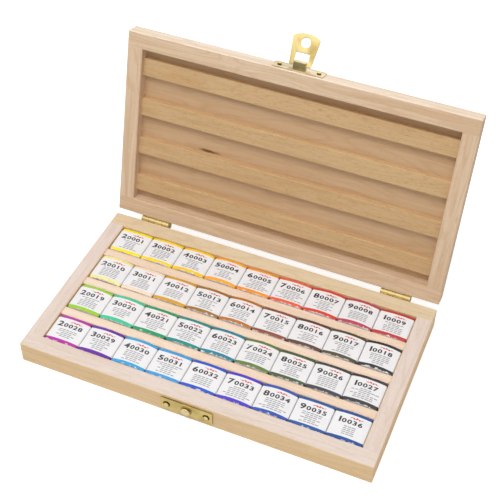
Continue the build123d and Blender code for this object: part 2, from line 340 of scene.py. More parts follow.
def brass(settings, part):
    """Brass plate with soft brownish stains and fine scratches, as it looks on one part."""
    tone, roughness, dulling = BRASSES[part]
    bright, dull = tinted(settings.colour, tone), tinted(settings.tarnish, tone)
    finish = Finish(f"{part} brass")
    spot = finish.place()
    cloud = finish.cloud(spot, 75.0, 3, 0.5, 0.6)
    fine = finish.cloud(spot, 1500.0, 3, 0.6)
    scratches = finish.cloud(finish.scaled(spot, (260, 5200, 2600)), 1.0, 2)
    share = finish.span(cloud, 0.38, 0.68, 0, dulling)
    finish.set(Base_Color=finish.blend(share, bright, dull), Metallic=1.0)
    finish.set(Roughness=finish.span(fine, 0.25, 0.75, roughness - 0.04, roughness + 0.08))
    finish.relief(finish.math("ADD", scratches, fine), 0.000004, 0.5)
    return finish.material


def paper(name, colour):
    """Matt label paper with its fibres and a little greyness where it is handled."""
    finish = Finish(name)
    spot = finish.place()
    cloud = finish.cloud(spot, 160.0, 3)
    fibre = finish.cloud(spot, 3800.0, 3, 0.7)
    grey = tinted(colour, (0.88, 0.885, 0.90))
    base = finish.blend(finish.span(cloud, 0.45, 0.8, 0, 0.5), colour, grey)
    base = finish.blend(finish.span(fibre, 0.45, 0.8, 0, 0.25), base, grey)
    finish.set(Base_Color=base, Roughness=0.62, Specular_IOR_Level=0.35)
    finish.relief(finish.math("ADD", fibre, cloud), 0.00003, 0.5)
    return finish.material


def wrapper_paper(name, colour):
    """The coloured glazed paper that each pan is folded in."""
    finish = Finish(name)
    spot = finish.place()
    cloud = finish.cloud(spot, 420.0, 3, 0.6, 0.8)
    fibre = finish.cloud(spot, 3600.0, 2, 0.6)
    deep = tinted(colour, (0.72, 0.70, 0.72))
    base = finish.blend(finish.span(cloud, 0.42, 0.75, 0, 0.6), colour, deep)
    finish.set(Base_Color=base, Roughness=finish.span(fibre, 0.3, 0.7, 0.3, 0.42))
    height = finish.math("ADD", cloud, finish.math("MULTIPLY", fibre, 0.2))
    finish.relief(height, 0.00025, 0.5)
    return finish.material


def crumpled_foil(name):
    """The thin foil of the folded ends, with its sharp little creases."""
    finish = Finish(name)
    spot = finish.place()
    creases = finish.put(
        "ShaderNodeTexVoronoi", {"Vector": spot, "Scale": 1300.0}, feature="DISTANCE_TO_EDGE")
    folds = finish.cloud(spot, 900.0, 2, 0.6, 1.2)
    bright, dull = srgb(240, 240, 242), srgb(186, 188, 194)
    tone = finish.blend(finish.span(folds, 0.35, 0.7), bright, dull)
    finish.set(Base_Color=tone, Metallic=0.5, Roughness=0.34)
    finish.relief(finish.math("ADD", creases, folds), 0.0004, 0.8)
    return finish.material


def ink(name, colour):
    """Printing ink that lies a little unevenly."""
    finish = Finish(name)
    cloud = finish.cloud(finish.place(), 2600.0, 2, 0.7)
    lighter = tuple(min(1, part * 1.5 + 0.02) for part in colour)
    base = finish.blend(finish.span(cloud, 0.45, 0.75, 0, 0.6), colour, lighter)
    finish.set(Base_Color=base, Roughness=0.5)
    return finish.material


# ---- Meshes ----


def placed(name, data):
    """A new object in the scene."""
    thing = bpy.data.objects.new(name, data)
    bpy.context.scene.collection.objects.link(thing)
    return thing


def taken_mesh(thing):
    """The mesh that an object comes to in the end. The object is removed."""
    ready = thing.evaluated_get(bpy.context.evaluated_depsgraph_get())
    mesh = bpy.data.meshes.new_from_object(ready)
    bpy.data.objects.remove(thing)
    return mesh


def make_piece(name, mesh, body, slot, *nodes):
    """A finished piece that rides on a body, with its CAD nodes hidden."""
    piece = placed(name, mesh)
    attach(piece, body)
    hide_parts(*nodes)


def mesh_from(name, vertices, faces, materials=(), indices=None):
    mesh = bpy.data.meshes.new(name)
    mesh.from_pydata([tuple(v) for v in vertices], [], faces)
    for material in materials:
        mesh.materials.append(material)
    if indices:
        mesh.polygons.foreach_set("material_index", indices)
    mesh.polygons.foreach_set("use_smooth", [True] * len(mesh.polygons))
    mesh.update()
    return mesh


def rework(mesh, change):
    """Changes a mesh by way of bmesh."""
    work = bmesh.new()
    work.from_mesh(mesh)
    change(work)
    work.to_mesh(mesh)
    work.free()


class Parcel:
    """Vertices, faces and their materials, gathered for one mesh."""

    def __init__(self):
        self.vertices, self.faces, self.indices = [], [], []

    def add(self, vertices, faces, index=0):
        start = len(self.vertices)
        self.vertices.extend(Vector(v) for v in vertices)
        self.faces.extend(tuple(start + i for i in face) for face in faces)
        self.indices.extend(index if isinstance(index, list) else [index] * len(faces))

    def add_mesh(self, mesh, index=None, change=lambda v: v):
        """Adds a mesh with one material for all its faces, or else with its own materials."""
        faces = [tuple(p.vertices) for p in mesh.polygons]
        own = [p.material_index for p in mesh.polygons]
        self.add([change(v.co) for v in mesh.vertices], faces, own if index is None else index)

    def mesh(self, name, materials=(), turn=None):
        """The gathered mesh, its faces pointing outwards and its edges sharp."""
        mesh = mesh_from(name, self.vertices, self.faces, materials, self.indices)
        if turn:
            mesh.transform(turn)
        rework(mesh, lambda work: bmesh.ops.recalc_face_normals(work, faces=work.faces))
        mesh.set_sharp_from_angle(angle=radians(35))
        return mesh


def ring_faces(rings, count, closed=True):
    """Quads between rings of vertices that lie one after another."""
    faces = []
    for ring in range(rings - 1):
        here, there = ring * count, (ring + 1) * count
        for i in range(count if closed else count - 1):
            after = (i + 1) % count
            faces.append((here + i, here + after, there + after, there + i))
    return faces


def circle(radius, segments, centre=(0, 0)):
    steps = [2 * pi * i / segments for i in range(segments)]
    return [(centre[0] + radius * cos(a), centre[1] + radius * sin(a)) for a in steps]


def rounded(corners, radii, steps=5):
    """A closed outline through corners, each rounded with its own radius."""
    outline = []
    count = len(corners)
    for i, (corner, radius) in enumerate(zip(corners, radii)):
        here = Vector(corner)
        back = (Vector(corners[i - 1]) - here).normalized()
        ahead = (Vector(corners[(i + 1) % count]) - here).normalized()
        if radius <= 0:
            outline.append(tuple(here))
            continue
        half = back.angle(ahead) / 2
        reach = radius / tan(half)
        centre = here + (back + ahead).normalized() * radius / sin(half)
        start = here + back * reach - centre
        turn = pi - 2 * half
        way = 1 if start.cross(here + ahead * reach - centre) > 0 else -1
        for step in range(steps + 1):
            turning = Matrix.Rotation(way * turn * step / steps, 2)
            outline.append(tuple(centre + turning @ start))
    return outline


def rounded_box(left, low, right, high, radii, steps):
    """The outline of a box whose corners are rounded, from the low left one on."""
    corners = [(left, low), (right, low), (right, high), (left, high)]
    return rounded(corners, [radius * MM for radius in radii], steps)


def grown(outline, amount):
    """The outline moved outwards by amount, or inwards where amount is negative."""
    points = [Vector(point) for point in outline]
    way = 1 if sum(points[i - 1].cross(points[i]) for i in range(len(points))) > 0 else -1
    result = []
    for i, here in enumerate(points):
        before = (here - points[i - 1]).normalized()
        after = (points[(i + 1) % len(points)] - here).normalized()
        first, second = (Vector((side.y, -side.x)) * way for side in (before, after))
        normal = (first + second).normalized()
        result.append(here + normal * amount / max(0.4, normal.dot(first)))
    return result


def sheet_metal(loops, thickness, arris, seats=(), edge=0):
    """A stamped sheet lying on z=0: the first loop is its outline, the others are holes.

    seats gives, for a hole by its place in loops, its own (growth, height) steps from below.
    Such a hole has material 1, and the outline has the material that edge says."""
    parcel = Parcel()
    rims = []
    soft = arris * (1 - cos(pi / 4))
    for place, loop in enumerate(loops):
        way, index = (1, edge) if place == 0 else (-1, 0)
        bend = [(-way * arris, 0), (-way * soft, soft), (0, arris)]
        steps = bend + [(grow, thickness - height) for grow, height in reversed(bend)]
        if place in seats:
            steps, index = seats[place], 1
        vertices = []
        for grow, height in steps:
            vertices.extend((*point, height) for point in grown(loop, grow))
        rims.append((vertices[:len(loop)], vertices[-len(loop):]))
        parcel.add(vertices, ring_faces(len(steps), len(loop)), index)
    for side in (0, 1):
        parcel.add(*filled([rim[side] for rim in rims]))
    sheet = mesh_from("sheet", parcel.vertices, parcel.faces, indices=parcel.indices)
    rework(sheet, lambda work: bmesh.ops.remove_doubles(work, verts=work.verts, dist=1e-7))
    return sheet


def filled(loops):
    """Triangles that fill the space between flat loops."""
    work = bmesh.new()
    edges = []
    for loop in loops:
        corners = [work.verts.new(v) for v in loop]
        edges.extend(work.edges.new((corners[i - 1], corners[i])) for i in range(len(corners)))
    bmesh.ops.triangle_fill(work, use_beauty=True, use_dissolve=False, edges=edges)
    work.verts.index_update()
    vertices = [v.co.copy() for v in work.verts]
    faces = [tuple(v.index for v in face.verts) for face in work.faces]
    work.free()
    return vertices, faces


def lathe(profile, segments):
    """A turned shape about z from (radius, height) points, closed at both ends."""
    inner = [point for point in profile if point[0] > 0]
    vertices = [(x, y, height) for radius, height in inner for x, y in circle(radius, segments)]
    faces = ring_faces(len(inner), segments)
    bottom, last = len(vertices), len(vertices) - segments
    vertices += [(0, 0, profile[0][1]), (0, 0, profile[-1][1])]
    for i in range(segments):
        after = (i + 1) % segments
        faces += [(after, i, bottom), (last + i, last + after, bottom + 1)]
    return vertices, faces


# ---- Geometry Nodes ----


class Recipe(Tree):
    """A Geometry Nodes tree with named inputs."""

    def __init__(self, name):
        super().__init__(bpy.data.node_groups.new(name, "GeometryNodeTree"))
        self.tree.is_modifier = True
        for way in ("INPUT", "OUTPUT"):
            self.socket("Geometry", way, "Geometry")
        self.start = self.tree.nodes.new("NodeGroupInput")
        self.values = {}

    def socket(self, name, way, kind):
        sockets = self.tree.interface
        return sockets.new_socket(name, in_out=way, socket_type="NodeSocket" + kind)

    def input(self, name, kind, value):
        self.values[self.socket(name, "INPUT", kind).identifier] = value
        return self.start.outputs[name]

    def shape(self, kind, inputs=(), **settings):
        return self.put("GeometryNode" + kind, inputs, **settings)

    def random(self, low, high, **inputs):
        inputs = {"Min": low, "Max": high, **inputs}
        return self.put("FunctionNodeRandomValue", inputs, data_type="FLOAT")

    def finish(self, geometry, material):
        """Ends the tree in real geometry with its material set."""
        real = self.shape("RealizeInstances", {"Geometry": geometry})
        done = self.shape("SetMaterial", {"Geometry": real, "Material": material})
        end = self.tree.nodes.new("NodeGroupOutput")
        self.tree.links.new(done, end.inputs[0])

    def run(self, points=(), **values):
        """The mesh that the tree makes, of points where it needs them."""
        maker = placed("maker", mesh_from("points", points, []))
        modifier = maker.modifiers.new(self.tree.name, "NODES")
        modifier.node_group = self.tree
        for item in self.tree.interface.items_tree:
            if item.in_out == "INPUT" and item.identifier in self.values:
                key = item.name.replace(" ", "_")
                modifier[item.identifier] = values.get(key, self.values[item.identifier])
        return taken_mesh(maker)


def fine_print_recipe(ink_material):
    """Centred rows of short bars, like lines of small words."""
    recipe = Recipe("Fine print")
    rows = recipe.input("Rows", "Int", 5)
    words = recipe.input("Words", "Int", 7)
    pitch = recipe.input("Row pitch", "Float", 1.22 * MM)
    step = recipe.input("Word pitch", "Float", 2.25 * MM)
    tall = recipe.input("Letter height", "Float", 0.46 * MM)
    seed = recipe.input("Seed", "Int", 0)
    material = recipe.input("Ink", "Material", ink_material)
    math = recipe.math

    width = math("MULTIPLY", step, math("SUBTRACT", words, 1.0))
    depth = math("MULTIPLY", pitch, math("SUBTRACT", rows, 1.0))
    sizes = {"Size X": width, "Size Y": depth, "Vertices X": words, "Vertices Y": rows}
    grid = recipe.shape("MeshGrid", sizes)
    spot = recipe.parts(recipe.shape("InputPosition"))
    row = math("ROUND", math("DIVIDE", spot[1], math("MULTIPLY", pitch, 0.5)))
    reach = recipe.random(0.55, 1.02, ID=math("ADD", row, 40.0), Seed=seed)
    limit = math("MULTIPLY", math("MULTIPLY", width, 0.5), reach)
    beyond = math("GREATER_THAN", math("ABSOLUTE", spot[0]), limit)
    row_ends = {"Geometry": grid, "Selection": beyond}
    kept = recipe.shape("DeleteGeometry", row_ends, domain="POINT")
    length = math("MULTIPLY", recipe.random(0.72, 0.94, Seed=seed), step)
    sizes = {"Size X": 1.0, "Size Y": 1.0, "Vertices X": 3, "Vertices Y": 2}
    bar = recipe.shape("MeshGrid", sizes)
    scale = recipe.put("ShaderNodeCombineXYZ", {"X": length, "Y": tall, "Z": 1.0})
    bars = {"Points": kept, "Instance": bar, "Scale": scale}
    recipe.finish(recipe.shape("InstanceOnPoints", bars), material)
    return recipe


def pins_recipe(head, metal):
    """One pin head at each point, all facing one way."""
    recipe = Recipe("Fixing pins")
    pin = recipe.input("Pin", "Object", head)
    tilt = recipe.input("Tilt", "Rotation", Euler((0, 0, 0)))
    material = recipe.input("Brass", "Material", metal)
    shape = recipe.add("GeometryNodeObjectInfo", {"Object": pin}).outputs["Geometry"]
    pins = {"Points": recipe.start.outputs["Geometry"], "Instance": shape, "Rotation": tilt}
    recipe.finish(recipe.shape("InstanceOnPoints", pins), material)
    return recipe


# ---- The wrapped pans ----

# The places of the materials on a pan's mesh
WRAPPER, FOIL, LABEL, NUMBER_INK, RED_INK, FINE_INK = range(6)
# How far the label lies in front of the pan's middle
LABEL_SHIFT = 0.25 * MM
# The height of a figure as a share of the font's size
FIGURE_SHARE = 0.73


class PanShape:
    """Where the surface of one wrapped pan runs, about the pan's own middle."""

    def __init__(self, node, settings):
        low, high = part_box(node)
        self.middle = (low + high) / 2
        self.floor = low.z
        self.half = (high.x - low.x) / 2
        self.deep = (high.y - low.y) / 2
        self.shoulder = 1.1 * MM
        row, column = int(node[5]), int(node[8])
        self.number = (row - 1) * COLUMNS + column
        step = (3 * (row - 1) + 5 * (column - 1)) % 4
        self.crown = (0.5 + 0.8 * step / 3) * MM
        self.height = high.z - low.z - self.crown
        self.crumple = settings.crumple

    def top(self, x, inset):
        share = min(1, abs(x) / (self.half - self.shoulder))
        return self.height - inset + self.crown * (1 - share * share)

    def section(self, inset, foot):
        """The pan's outline across the row, from its left foot over the top to its right foot."""
        half, flat = self.half - inset, self.half - self.shoulder
        bend = half - flat
        foot_to_bend = self.height - inset - bend - foot
        left = [(-half, foot + foot_to_bend * i / 6) for i in range(6)]
        for angle in (pi / 2 * i / 5 for i in range(5)):
            left.append((-flat - bend * cos(angle), self.height - inset - bend + bend * sin(angle)))
        across = [flat * (2 * i / 24 - 1) for i in range(25)]
        middle = [(x, self.top(x, inset)) for x in across]
        return left + middle + [(-x, z) for x, z in reversed(left)]

    def settle(self, point):
        """Crumples a point of the wrapping a little and brings it into its place in the box."""
        point = Vector(point)
        where = point * 170 + Vector((7.3 * self.number, 3.1 * self.number, 0))
        wave = noise.noise(where) + 0.35 * noise.noise(where * 3.3)
        near_end = max(0, abs(point.y) / self.deep - 0.72) * 2.2
        lift = self.crumple * (wave - 0.9) * (0.45 + near_end)
        point.z += lift if point.z > 2 * MM else 0
        return point + Vector((self.middle.x, self.middle.y, self.floor))


def wrap(parcel, shape, inset):
    """The folded wrapper: coloured over the top, foil showing raggedly at both ends."""
    rounding = ((0.0, 0.95), (0.10, 0.55), (0.32, 0.26), (0.66, 0.07))
    ends = [(shape.deep - off * MM, inset + cut * MM) for off, cut in rounding]
    body = shape.deep - 1.1 * MM
    stations = [(-y, cut) for y, cut in ends]
    stations += [(-body + 2 * body * i / 16, inset) for i in range(17)]
    stations += reversed(ends)
    lines = [(y, shape.section(cut, 0.2 * MM)) for y, cut in stations]
    count = len(lines[0][1])
    vertices = [(x, y, z) for y, line in lines for x, z in line]
    faces = ring_faces(len(stations), count)
    last = len(stations) - 2
    # The noise from which the foil shows, in the rows of faces from the end on
    tears = (-2.0, 0.1, 0.42)
    picks = []
    for place in range(len(faces)):
        x, y, _ = vertices[place]
        row = min(place // count, last - place // count)
        torn = noise.noise(Vector((x * 520, y * 90, 5.7 * shape.number)))
        picks.append(FOIL if row < len(tears) and torn > tears[row] else WRAPPER)
    ends_at = (len(stations) - 1) * count
    faces += [tuple(range(count)), tuple(ends_at + i for i in reversed(range(count)))]
    picks += [FOIL, FOIL]
    parcel.add([shape.settle(v) for v in vertices], faces, picks)


def fold_ends(parcel, shape, inset):
    """The envelope fold of the foil on both ends of a pan: two side flaps under a top flap."""
    half, high, low = shape.half - inset - MM, shape.height - inset - 1.2 * MM, 0.5 * MM
    near, far = 0.25 * half, 0.45 * half
    upper, lower, hem = 0.72 * high, 0.30 * high, 0.34 * high
    flaps = (
        (0.10, ((-half, low), (-half, high), (-near, upper), (-near, lower))),
        (0.10, ((half, high), (half, low), (near, lower), (near, upper))),
        (0.22, ((-half, high), (half, high), (far, hem), (-far, hem))),
    )
    seat = 0.3 * MM
    for way in (-1, 1):
        for proud, points in flaps:
            outer = [(x, way * (shape.deep - seat + proud * MM), z) for x, z in points]
            inner = [(x, way * (shape.deep - seat), z) for x, z in points]
            faces = [(0, 1, 2, 3), (7, 6, 5, 4)]
            faces += [(i, (i + 1) % 4, 4 + (i + 1) % 4, 4 + i) for i in range(4)]
            parcel.add([shape.settle(v) for v in outer + inner], faces, FOIL)


def label_band(parcel, shape, depth, thickness):
    """The white paper band over the wrapper, open underneath."""
    stations = 14
    lines = [shape.section(inset, 1.4 * MM) for inset in (0, thickness)]
    count = len(lines[0])
    front = -depth / 2 - LABEL_SHIFT
    places = [front + depth * station / (stations - 1) for station in range(stations)]
    vertices = [(x, y, z) for line in lines for y in places for x, z in line]
    shell = stations * count
    sheet = ring_faces(stations, count, closed=False)
    faces = sheet + [tuple(shell + i for i in reversed(face)) for face in sheet]
    rows = [(row + i, row + i + 1) for row in (0, shell - count) for i in range(count - 1)]
    sides = [(i, i + count) for end in (0, count - 1) for i in range(end, shell - count, count)]
    faces += [(a, b, shell + b, shell + a) for a, b in rows + sides]
    parcel.add([shape.settle(v) for v in vertices], faces, LABEL)


def number_mesh(text, height):
    """Bold numerals standing on y=0 from x=0, as a flat mesh and its width."""
    curve = bpy.data.curves.new("number", "FONT")
    curve.body = text
    curve.size = height / FIGURE_SHARE
    curve.offset = 0.045 * height
    curve.space_character = 1.18
    curve.resolution_u = 3
    mesh = taken_mesh(placed("number", curve))
    bpy.data.curves.remove(curve)
    return mesh, max(v.co.x for v in mesh.vertices)


def print_label(parcel, shape, settings, recipe):
    """Number, rule and fine print, a hair above the label."""
    proud = 0.035 * MM

    def laid(point, across=0.0, along=0.0, widen=1.0):
        x, y = widen * point[0] + across, point[1] + along
        return shape.settle((x, y, shape.top(x, 0) + proud))

    left, foot, widen, gap = -7.7 * MM, 1.2 * MM, 1.36, 0.5 * MM
    tall = settings.number_height
    texts = ((f"{shape.number % COLUMNS + 1}", tall), (f"{shape.number:04d}", 0.76 * tall))
    for text, height in texts:
        number, width = number_mesh(text, height)
        parcel.add_mesh(number, NUMBER_INK, lambda v: laid(v, left, foot, widen))
        left += widen * width + gap

    # The rule, a wavy stroke that swells and thins
    steps, rule_at, fine_print_at = 24, 5.35 * MM, -3.3 * MM
    rule = []
    for side in (-1, 1):
        for i in range(steps + 1):
            share = i / steps
            swell = 1.5 + sin(31 * share + shape.number)
            thick = 0.24 * MM * swell * sin(pi * (0.08 + 0.86 * share))
            wave = 0.24 * MM * sin(17 * share + shape.number)
            rule.append(((-1.6 + 7.6 * share) * MM, rule_at + wave + side * thick))
    faces = [(i, i + 1, steps + 2 + i, steps + 1 + i) for i in range(steps)]
    parcel.add([laid(p) for p in rule], faces, RED_INK)

    rows = settings.print_rows - (shape.number % 4 == 0)
    bars = recipe.run(Rows=rows, Seed=shape.number)
    parcel.add_mesh(bars, FINE_INK, lambda v: laid(v, 0.3 * MM, fine_print_at))


class PAINTBOX_OT_pans(Operator):
    """Makes the wrapped and labelled half pans"""

    bl_idname = "paint_box.make_pans"
    bl_label = "Wrapped pans"

    def execute(self, context):
        settings = context.scene.paint_box_pans
        foil = crumpled_foil("Foil ends")
        label = paper("Label paper", settings.paper)
        fine_ink = ink("Fine print ink", srgb(128, 128, 134))
        inks = [ink("Number ink", settings.ink), ink("Red ink", srgb(198, 48, 56)), fine_ink]
        others = [foil, label, *inks]
        recipe = fine_print_recipe(fine_ink)
        for row, wrappers in enumerate(WRAPPERS, 1):
            for column, (name, colour) in enumerate(wrappers, 1):
                coloured = wrapper_paper(f"Wrapper {name}", srgb(*colour))
                make_pan(f"pan_r{row}_c{column}", settings, [coloured, *others], recipe)
        return {"FINISHED"}


def make_pan(node, settings, materials, recipe):
    """One wrapped pan: its folded wrapper and label, and the print that lies on the label."""
    shape = PanShape(node, settings)
    inset = settings.paper_thickness
    wrapping = Parcel()
    wrap(wrapping, shape, inset)
    fold_ends(wrapping, shape, inset)
    label_band(wrapping, shape, settings.label_depth, inset)
    whole = Parcel()
    whole.add_mesh(wrapping.mesh("wrapping", materials))
    print_label(whole, shape, settings, recipe)
    name = f"wrapped_pan_{shape.number:02d}"
    mesh = mesh_from(name, whole.vertices, whole.faces, materials, whole.indices)
    mesh.set_sharp_from_angle(angle=radians(40))
    make_piece(name, mesh, node, "pan_wrap", node)


# ---- The wood ----


def dress(node, material):
    """Gives a CAD node a better material and leaves its shape alone."""
    slots = frame["nodes"][node].data.materials
    slots.clear()
    slots.append(material)


RAIL_GRAIN = (("front", "X"), ("back", "X"), ("left", "Y"), ("right", "Y"))


class PAINTBOX_OT_case_wood(Operator):
    """Finishes the case's rails, ridges and floor in sanded beech"""

    bl_idname = "paint_box.finish_case"
    bl_label = "Base wood"

    def execute(self, context):
        wood = context.scene.paint_box_wood
        fleck = wood.fleck
        for seed, (side, grain) in enumerate(RAIL_GRAIN, 1):
            # Painted shade: the back rail's upward faces take a darker, warmer tone for the lid's
            # shade and warm bounce on them. The other rails take the paler painted top light.
            painted_top_light = tinted(wood.rim, (0.97, 0.92, 0.70)) if side == "back" else wood.rim
            rail = beech(f"Base {side} beech", wood.case, grain, False, seed, 0.8, fleck, painted_top_light)
            dress(f"base_{side}_rail", rail.material)
        pale = tinted(wood.case, (1.08, 1.22, 1.7))
        ridges = beech("Ridge beech", pale, "X", False, 6, 0.7, fleck)
        dress("tray_ridges", ridges.material)
        floor = beech("Floor beech", wood.panel, "X", False, 7, 1.0, fleck)
        dress("base_floor_panel", floor.material)
        return {"FINISHED"}


class PAINTBOX_OT_lid_wood(Operator):
    """Finishes the lid's rails, slats and panel in sanded beech"""

    bl_idname = "paint_box.finish_lid"
    bl_label = "Lid wood"

    def execute(self, context):
        wood = context.scene.paint_box_wood
        fleck = wood.fleck
        for seed, (side, grain) in enumerate(RAIL_GRAIN, 11):
            # Painted light: the lid's front rail, whose outer face lies upwards when the lid is
            # open, takes a still paler tone painted for the strong light from above
            painted_top_light = tinted(wood.rim, (1.17, 1.17, 1.07)) if side == "front" else None
            rail = beech(f"Lid {side} beech", wood.lid, grain, True, seed, 1.3, fleck, painted_top_light)
            dress(f"lid_{side}_rail", rail.material)
        slats = beech("Slat beech", wood.slat, "X", True, 16, 1.0, 1.9 * fleck)
        # A figured spot on one slat
        stain(slats, (-0.070, 0.0863, 0.1047), (0.020, 0.02, 0.005), 0.5, (0.93, 0.82, 0.66))
        dress("lid_press_slats", slats.material)
        inside = beech("Lid panel beech", wood.panel, "X", True, 17, 0.9, 0.6 * fleck)
        # The knot
        knot, reach = (-0.0495, 0.0793, 0.0640), (0.0085, 0.01, 0.0013)
        stain(inside, knot, reach, 1.0, (0.26, 0.19, 0.14))
        dress("lid_top_panel", inside.material)
        return {"FINISHED"}


# ---- The brass ----

# Across the plates, from the middle to their pins
PIN_PLACES = (-11.5 * MM, 11.5 * MM)
# The dished seat of a pin in the strike plate, and the hole of one in the lid's plate
SEAT_RADIUS, PIN_HOLE = 2.1 * MM, 0.73 * MM
# The tongue's hole, and the stud's neck that it goes round
HOLE_RADIUS, NECK_RADIUS = 2.8 * MM, 1.7 * MM
# How much nearer the stud's top is to the case than its solid's, as the photograph shows it
STUD_SHORTER = 0.55 * MM
# How high a plate pin stands off the bottom of its seat
FOOT_HEIGHT = 1.05 * MM


class PAINTBOX_OT_hinges(Operator):
    """Finishes the rolled hinges in bright brass"""

    bl_idname = "paint_box.finish_hinges"
    bl_label = "Hinges"

    def execute(self, context):
        settings = context.scene.paint_box_brass
        leaf, pin = brass(settings, "Hinge"), brass(settings, "Hinge pin")
        for side in ("left", "right"):
            for part, metal in (("base_leaf", leaf), ("lid_leaf", leaf), ("pin", pin)):
                dress(f"{side}_hinge_{part}", metal)
        return {"FINISHED"}


def shut_box(node, back):
    """The box of a CAD node that has been turned back to where it lies when the lid is shut."""
    piece = frame["nodes"][node]
    spots = [back @ piece.matrix_world @ vertex.co for vertex in piece.data.vertices]
    low, high = (Vector(pick(spot[i] for spot in spots) for i in range(3)) for pick in (min, max))
    return low, high


def on_front(x, z):
    """Stands a sheet drawn flat on the shut case's front, its top face outwards."""
    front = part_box("base_front_rail")[0].y
    return Matrix.Translation((x, front, z)) @ Matrix.Rotation(pi / 2, 4, "X")


def plate_loops(low, high, hole, segments):
    """The rounded outline of a plate about its middle, and a round hole for each of its pins."""
    x, y = (high.x - low.x) / 2, (high.z - low.z) / 2
    outline = rounded_box(-x, -y, x, y, [0.7] * 4, 4)
    return [outline, *(circle(hole, segments, (place, 0)) for place in PIN_PLACES)]


def in_mm(*points):
    return [(x * MM, y * MM) for x, y in points]


# The body and the node of each brass piece, and the parts whose metals it has
BRASS_PIECES = {
    "strike_plate_finished": ("root", "strike_plate", "Strike plate", "Dish", "Collar"),
    "strike_stud_finished": ("root", "strike_stud", "Stud"),
    "catch_plate_finished": ("lid", "catch_lid_plate", "Catch plate", "Strap"),
    "catch_tongue_finished": ("catch", "catch_tongue", "Tongue"),
}


def finish_brass(settings, name, parcel, turn):
    body, node, *parts = BRASS_PIECES[name]
    metals = [brass(settings, part) for part in parts]
    make_piece(name, parcel.mesh(name, metals, turn), body, "brass_plate", node)


class PAINTBOX_OT_strike(Operator):
    """Makes the strike plate with its dished pin seats, and the stud"""

    bl_idname = "paint_box.make_strike"
    bl_label = "Strike plate and stud"

    def execute(self, context):
        settings = context.scene.paint_box_brass
        sheet = settings.sheet
        low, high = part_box("strike_plate")
        middle = (low + high) / 2
        stand = on_front(middle.x, middle.z)
        # Painted shade: the pin seats take the dark dish metal
        dish = in_mm((-0.52, 0), (-0.50, 0.1), (-0.42, 0.3))
        dish += [(-0.06 * MM, sheet - 0.08 * MM), (0, sheet)]
        loops = plate_loops(low, high, SEAT_RADIUS, 32)
        parcel = Parcel()
        # Painted shade: the plate's outline edge and the collar round the stud take the dark collar
        # metal
        parcel.add_mesh(sheet_metal(loops, sheet, settings.arris, {1: dish, 2: dish}, 2))
        collar = [(0, sheet), (3.1 * MM, sheet), *in_mm((3.15, 1.1), (2.9, 1.25), (0, 1.25))]
        parcel.add(*lathe(collar, 40), 2)
        finish_brass(settings, "strike_plate_finished", parcel, stand)

        low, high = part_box("strike_stud")
        radius, reach = (high.x - low.x) / 2, high.y - low.y - STUD_SHORTER
        foot, lip = 0.05 * MM, reach - 1.2 * MM
        profile = [(0, foot), (NECK_RADIUS, foot), (NECK_RADIUS, sheet + foot)]
        profile += [(NECK_RADIUS, lip), (radius - 0.15 * MM, lip), (radius, lip + 0.14 * MM)]
        dome = ((0.97, 0.34), (0.82, 0.66), (0.6, 0.94), (0.32, 1.15), (0, 1.2))
        profile += [(share * radius, lip + up * MM) for share, up in dome]
        parcel = Parcel()
        parcel.add(*lathe(profile, 40))
        finish_brass(settings, "strike_stud_finished", parcel, stand)
        return {"FINISHED"}


class PAINTBOX_OT_catch_plate(Operator):
    """Makes the lid's plate with the folded strap that holds the tongue"""

    bl_idname = "paint_box.make_catch_plate"
    bl_label = "Catch plate"

    def execute(self, context):
        settings = context.scene.paint_box_brass
        sheet = settings.sheet
        low, high = shut_box("catch_lid_plate", OPENING.inverted())
        middle = (low + high) / 2
        parcel = Parcel()
        loops = plate_loops(low, high, PIN_HOLE, 20)
        parcel.add_mesh(sheet_metal(loops, sheet, settings.arris), 0)

        pivot = OPENING.inverted() @ CATCH_LINE
        width, wall = 7 * MM, 0.6 * MM
        outer, reach = high.y - low.y, pivot.y - low.y
        rise, root = pivot.z - middle.z, sheet - 0.3 * MM
        outline = rounded_box(root, rise - reach, outer, rise + reach, (0, 0.55, 0.55, 0), 5)
        room, ceiling = reach - wall, outer - wall
        inside = rounded_box(sheet, rise - room, ceiling, rise + room, (0.1, 0.3, 0.3, 0.1), 4)
        strap = sheet_metal([outline, inside], width, 0.1 * MM)
        across = Matrix(((0, 0, 1, -width / 2), (0, 1, 0, 0), (1, 0, 0, 0), (0, 0, 0, 1)))
        foot = rise - reach + 0.3 * MM
        # Painted shade: the strap's faces that lie lowest on the shut case take the dark strap
        # metal
        lower = [int(p.center.y < foot) for p in strap.polygons]
        parcel.add_mesh(strap, lower, lambda v: across @ v)
        turn = OPENING @ on_front(middle.x, middle.z)
        finish_brass(settings, "catch_plate_finished", parcel, turn)
        return {"FINISHED"}


